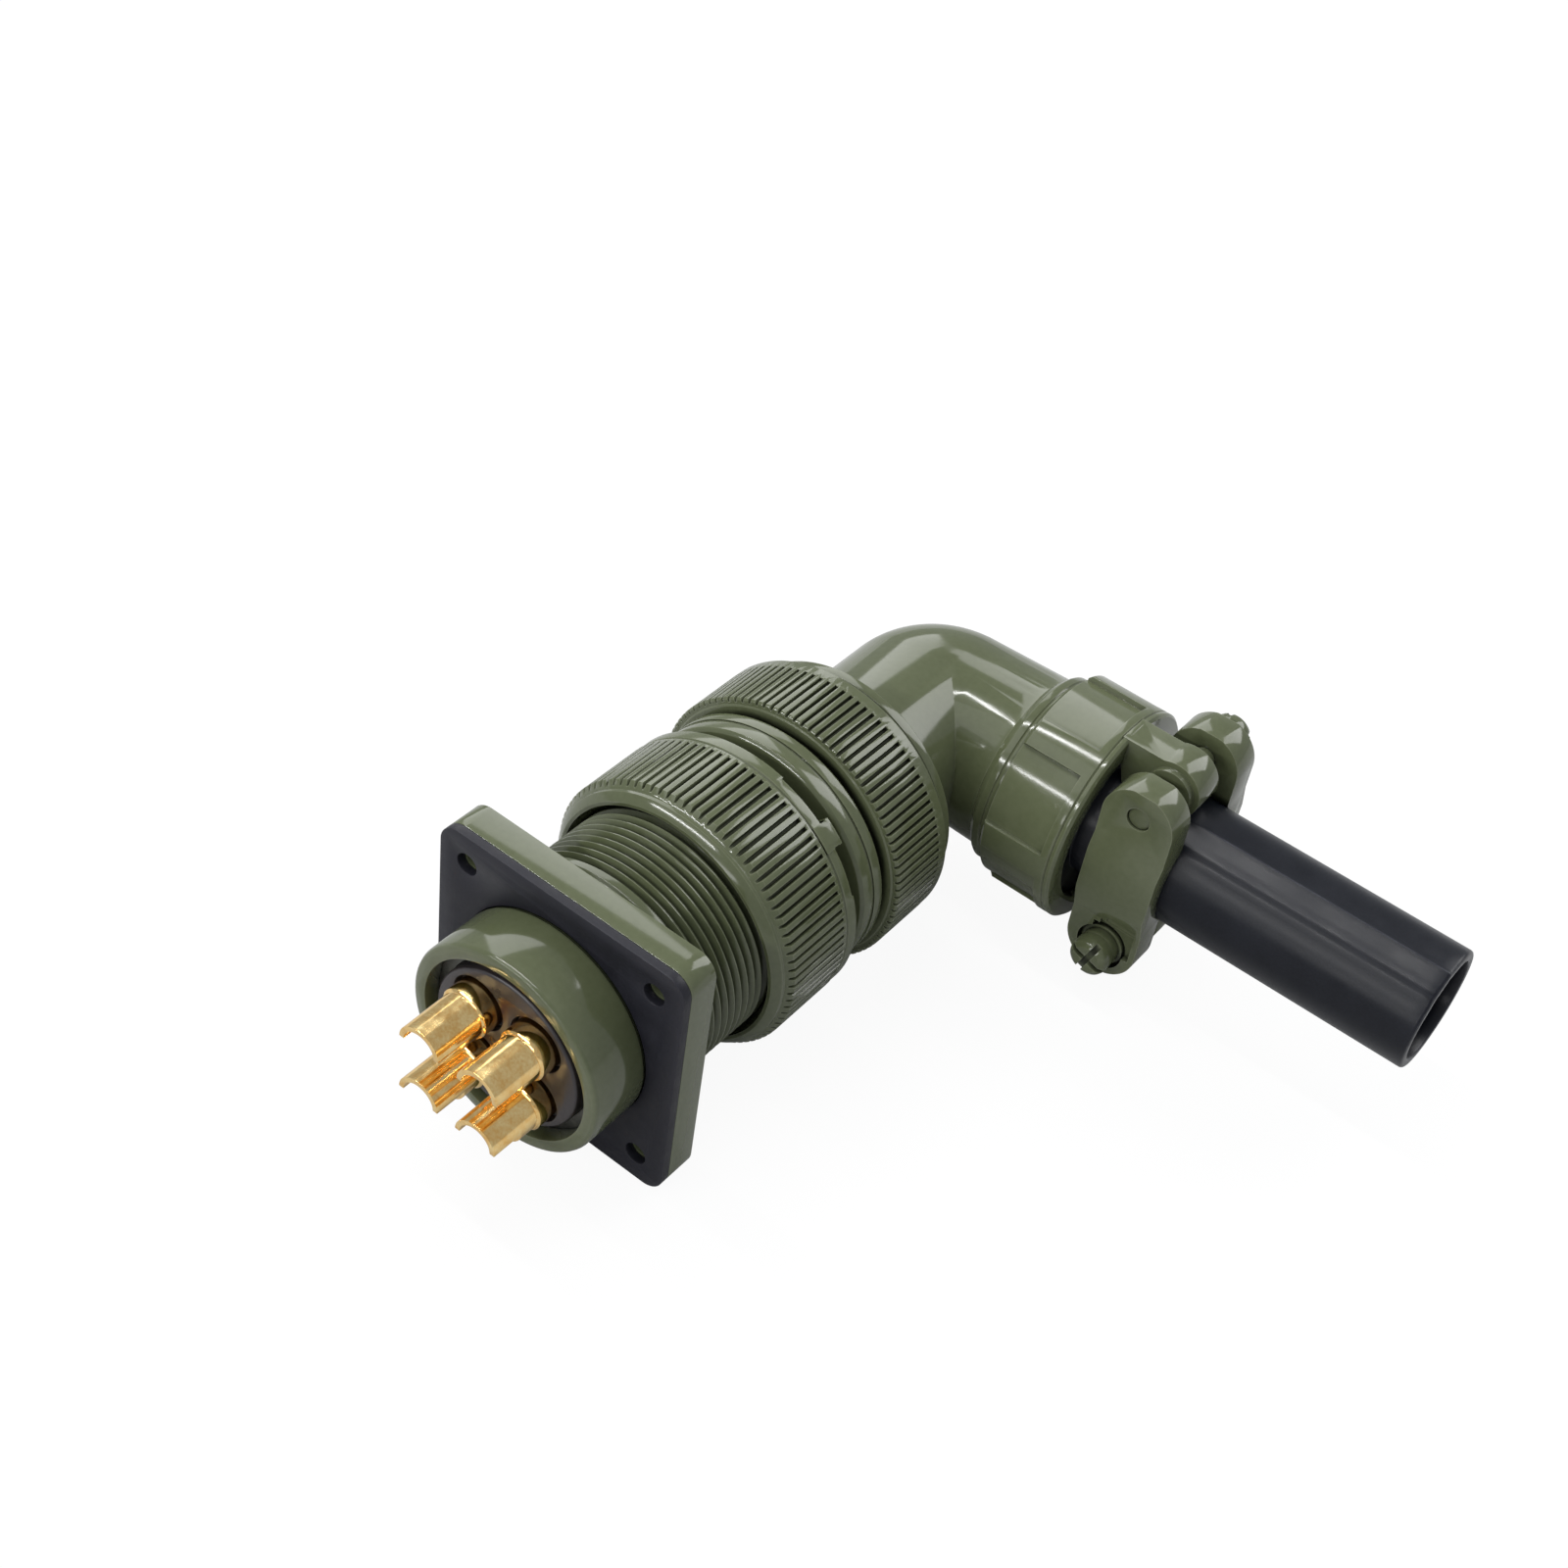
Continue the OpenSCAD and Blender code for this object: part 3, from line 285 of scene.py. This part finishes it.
def finish_surface(name, dark, light, rough, broad=60.0, fine=1400.0, fine_share=0.5, bump=0.15,
                   depth=0.00002, edge=None, edge_radius=0.0003, groove=None, metallic=0.0,
                   specular=0.5):
    """A coated or moulded surface: mottled colour and gloss, fine bump, worn edges, and painted
    shade in grooves, where the colour darkens and the specular level drops.
    """
    mat, tree, shader = new_material(name)
    spots = place_group(tree, mottle, Broad_Scale=broad, Fine_Scale=fine, Fine_Share=fine_share)
    tone = node(tree, "ShaderNodeMapRange", {"Value": spots.outputs["Height"], "From Min": 0.35,
                                             "From Max": 0.65})
    colour = node(tree, "ShaderNodeMix", {"Factor": tone.outputs["Result"], 6: dark, 7: light},
                  data_type="RGBA").outputs[2]
    shader.inputs["Specular IOR Level"].default_value = specular
    if edge:
        rim = place_group(tree, edges, Radius=edge_radius)
        colour = node(tree, "ShaderNodeMix", {"Factor": rim.outputs["Mask"], 6: colour, 7: edge},
                      data_type="RGBA").outputs[2]
    # Painted shade: where ambient occlusion finds grooves and recesses, the colour goes to the dark
    # groove colour and the specular level drops.
    if groove:
        groove_shade_ao = node(tree, "ShaderNodeAmbientOcclusion", {"Distance": 0.0016},
                        samples=8).outputs["AO"]
        shown = node(tree, "ShaderNodeMapRange", {"Value": groove_shade_ao, "From Min": 0.32,
                                                  "From Max": 0.72})
        colour = node(tree, "ShaderNodeMix", {"Factor": shown.outputs["Result"], 6: groove,
                                              7: colour}, data_type="RGBA").outputs[2]
        groove_shade_specular = node(tree, "ShaderNodeMapRange", {"Value": groove_shade_ao, "From Min": 0.36,
                                                  "From Max": 0.75, "To Min": 0.12,
                                                  "To Max": specular})
        tree.links.new(groove_shade_specular.outputs["Result"], shader.inputs["Specular IOR Level"])
    gloss = node(tree, "ShaderNodeMapRange", {"Value": spots.outputs["Broad"], "From Min": 0.3,
                                              "From Max": 0.7, "To Min": rough[0],
                                              "To Max": rough[1]})
    relief = node(tree, "ShaderNodeBump", {"Height": spots.outputs["Height"], "Strength": bump,
                                           "Distance": depth})
    tree.links.new(colour, shader.inputs["Base Color"])
    tree.links.new(gloss.outputs["Result"], shader.inputs["Roughness"])
    tree.links.new(relief.outputs["Normal"], shader.inputs["Normal"])
    shader.inputs["Metallic"].default_value = metallic
    return mat


# The enamel's groove colour is painted shade, laid into its knurl grooves, thread roots and
# recesses.
enamel = finish_surface(
    "olive_enamel", (0.078, 0.090, 0.045, 1), (0.096, 0.110, 0.058, 1), (0.09, 0.14),
    broad=45, fine=1100, fine_share=0.35, bump=0.07, depth=0.00002,
    edge=(0.170, 0.185, 0.120, 1), edge_radius=0.00022, groove=(0.012, 0.014, 0.008, 1))
black_rubber = finish_surface(
    "black_rubber", (0.0028, 0.0036, 0.0068, 1), (0.0062, 0.0075, 0.0125, 1), (0.28, 0.36),
    broad=160, fine=3500, fine_share=0.6, bump=0.22, depth=0.00003, specular=0.27,
    edge=(0.075, 0.078, 0.092, 1), edge_radius=0.0004)
gasket_rubber = finish_surface(
    "gasket_rubber", (0.0085, 0.0085, 0.0130, 1), (0.014, 0.014, 0.021, 1), (0.42, 0.58),
    broad=200, fine=2600, bump=0.2, depth=0.00003, specular=0.3,
    edge=(0.045, 0.045, 0.055, 1), edge_radius=0.00015)
dark_moulding = finish_surface(
    "dark_moulding", (0.021, 0.0175, 0.019, 1), (0.033, 0.027, 0.029, 1), (0.26, 0.40),
    broad=250, fine=1600, bump=0.15)
gold_plate = finish_surface(
    "gold_plate", (0.86, 0.52, 0.17, 1), (1.0, 0.76, 0.36, 1), (0.09, 0.18),
    broad=500, fine=2600, fine_share=0.4, bump=0.14, depth=0.00002, metallic=1.0)
spring_steel = finish_surface(
    "spring_steel", (0.10, 0.10, 0.09, 1), (0.16, 0.16, 0.14, 1), (0.30, 0.45),
    broad=400, fine=2500, metallic=0.9)


# ---------------------------------------------------------------- pieces
def dress(node_name, name, material, body, edge, thread=None, shape=None, smooth_angle=40):
    """Replace a CAD node by a copy with soft edges, its thread or own shape, and its surface.

    The width of its soft edges is in millimetres."""
    piece = casting_of(node_name, name)
    soften(piece, edge * MM)
    if thread:
        cut_thread(piece, **thread)
    if shape:
        shape(piece)
    smooth(piece, smooth_angle)
    piece.data.materials.clear()
    piece.data.materials.append(material)
    for face in piece.data.polygons:
        face.material_index = 0
    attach(piece, body)
    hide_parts(node_name)


# Receptacle, with its coupling thread from the neck to the mouth
dress("receptacle_shell", "shell_enamelled", enamel, "receptacle", 0.22, COUPLING_THREAD)
dress("flange_gasket", "gasket_rubber", gasket_rubber, "receptacle", 0.12)
dress("receptacle_insert", "insert_moulded", dark_moulding, "receptacle", 0.12)

# Contacts: pins in the receptacle, sockets in the plug
for letter in "abcd":
    dress("pin_contact_" + letter, "pin_plated_" + letter, gold_plate, "receptacle", 0.10)
    dress("socket_contact_" + letter, "socket_plated_" + letter, gold_plate, "plug", 0.08)

# Plug, with the thread that the backshell nut runs on
dress("plug_barrel", "barrel_enamelled", enamel, "plug", 0.18, REAR_THREAD)
dress("plug_insert", "plug_insert_moulded", dark_moulding, "plug", 0.12)

# Nuts, cable clamp and elbow
dress("coupling_nut", "coupling_nut_enamelled", enamel, "coupling_nut_body", 0.10)
dress("backshell_nut", "backshell_nut_enamelled", enamel, "backshell_nut_body", 0.10)
dress("clamp_body", "clamp_body_enamelled", enamel, "clamp", 0.22)
dress("saddle_near", "saddle_near_enamelled", enamel, "near_saddle", 0.25)
dress("saddle_far", "saddle_far_enamelled", enamel, "far_saddle", 0.25)
dress("elbow", "elbow_enamelled", enamel, "backshell", 0.2, OUTLET_THREAD)

# Slotted screws; the washers under each head ride with the saddle that they rest on
for side, saddle in (("lower", "near_saddle"), ("upper", "far_saddle")):
    dress("clamp_screw_" + side, "clamp_screw_enamelled_" + side, enamel, side + "_screw", 0.12)
    for kind in ("lock_washer_", "flat_washer_"):
        dress(kind + side, kind + "plated_" + side, enamel, saddle, 0.06)

# Inner rings and the seal keep their CAD shapes
for name, material in (("insert_retaining_ring", spring_steel),
                       ("coupling_nut_retaining_ring", spring_steel),
                       ("elbow_retaining_ring", spring_steel),
                       ("interface_seal", black_rubber)):
    nodes[name].data.materials.clear()
    nodes[name].data.materials.append(material)

# Rubber bushing, squeezed by the saddles
dress("cable_bushing", "bushing_rubber", black_rubber, "bushing", 0.25, shape=squeeze,
      smooth_angle=50)


# ---------------------------------------------------------------- stage
def seen_and_unseen(tree, out, unseen, seen, share=1.0):
    """Shade an output with one shader for the camera's rays, to a share, and one for the rest."""
    camera_ray = node(tree, "ShaderNodeLightPath").outputs["Is Camera Ray"]
    amount = node(tree, "ShaderNodeMath", {0: camera_ray, 1: share}, operation="MULTIPLY")
    mix = node(tree, "ShaderNodeMixShader", {0: amount.outputs["Value"], 1: unseen, 2: seen})
    tree.links.new(mix.outputs["Shader"], out.inputs["Surface"])


bpy.ops.mesh.primitive_plane_add(size=FLOOR_SIZE)
floor = bpy.context.active_object
floor.name = "floor"
floor.data.transform(Matrix.Translation((0, 0, cad_low.z - FLOOR_GAP)))
floor_mat, tree, shader = new_material("floor_white")
shader.inputs["Base Color"].default_value = (0.50, 0.50, 0.50, 1)
shader.inputs["Roughness"].default_value = 0.9
glow = node(tree, "ShaderNodeEmission", {"Color": (1, 1, 1, 1), "Strength": 1.06})
seen_and_unseen(tree, next(n for n in tree.nodes if n.type == "OUTPUT_MATERIAL"),
                shader.outputs["BSDF"], glow.outputs["Emission"], share=0.88)
floor.data.materials.append(floor_mat)

world = bpy.data.worlds.new("studio")
bpy.context.scene.world = world
world.use_nodes = True
sky = world.node_tree
sky.nodes.clear()
room = node(sky, "ShaderNodeBackground", {"Color": (0.93, 0.96, 1.0, 1), "Strength": 0.46})
backdrop = node(sky, "ShaderNodeBackground", {"Color": (1, 1, 1, 1), "Strength": 1.0})
seen_and_unseen(sky, sky.nodes.new("ShaderNodeOutputWorld"), room.outputs["Background"],
                backdrop.outputs["Background"])


def softbox(name, direction, width, height, radiance, along=(1, 0, 0), distance=LAMP_DISTANCE):
    """A rectangular lamp that faces the object, its width laid along a given axis."""
    data = bpy.data.lights.new(name, "AREA")
    data.shape = "RECTANGLE"
    data.size, data.size_y = width, height
    data.energy = radiance * math.pi * width * height
    lamp = bpy.data.objects.new(name, data)
    bpy.context.scene.collection.objects.link(lamp)
    away = Vector(direction).normalized()
    side = Vector(along)
    side = (side - side.dot(away) * away).normalized()
    turn = Matrix((side, away.cross(side), away)).transposed().to_4x4()
    lamp.matrix_world = Matrix.Translation(LAMP_TARGET + away * distance) @ turn


# Two thin tubes make the bright lines on the enamel, and panels its broad grey reflections
softbox("strip_top", (-0.34, -0.09, 0.94), 0.75, 0.03, 42)
softbox("strip_front", (-0.34, -0.77, 0.55), 0.75, 0.03, 38)
softbox("between", (-0.34, -0.45, 0.82), 0.7, 0.50, 1.0, distance=0.95)
softbox("left_rear", (-0.66, 0.50, 0.56), 0.62, 0.62, 2.6, along=(0.68, 0.73, 0))
softbox("front_low", (0.05, -0.95, 0.30), 0.45, 0.14, 4.5)
softbox("right_rear", (0.30, 0.70, 0.62), 0.40, 0.62, 4.0, along=(0.9, -0.4, 0))

# ---------------------------------------------------------------- camera
# The camera stands in front of the flange and above it, and looks down on the connector
camera_data = bpy.data.cameras.new("camera")
camera_data.lens = 53.24
camera_data.sensor_width = 36.0
camera_data.clip_start = 0.01
camera = bpy.data.objects.new("camera", camera_data)
bpy.context.scene.collection.objects.link(camera)
right = Vector((0.7783891, 0.6169795, 0.1159597))
down = Vector((0.4924986, -0.4855982, -0.7222462))
ahead = Vector((-0.3893013, 0.6192986, -0.6818459))
turn = Matrix((right, -down, -ahead)).transposed().to_4x4()
camera.matrix_world = Matrix.Translation(Vector((126.666, -154.252, 231.107)) * MM) @ turn
bpy.context.scene.camera = camera
bpy.context.scene.view_settings.view_transform = "Standard"
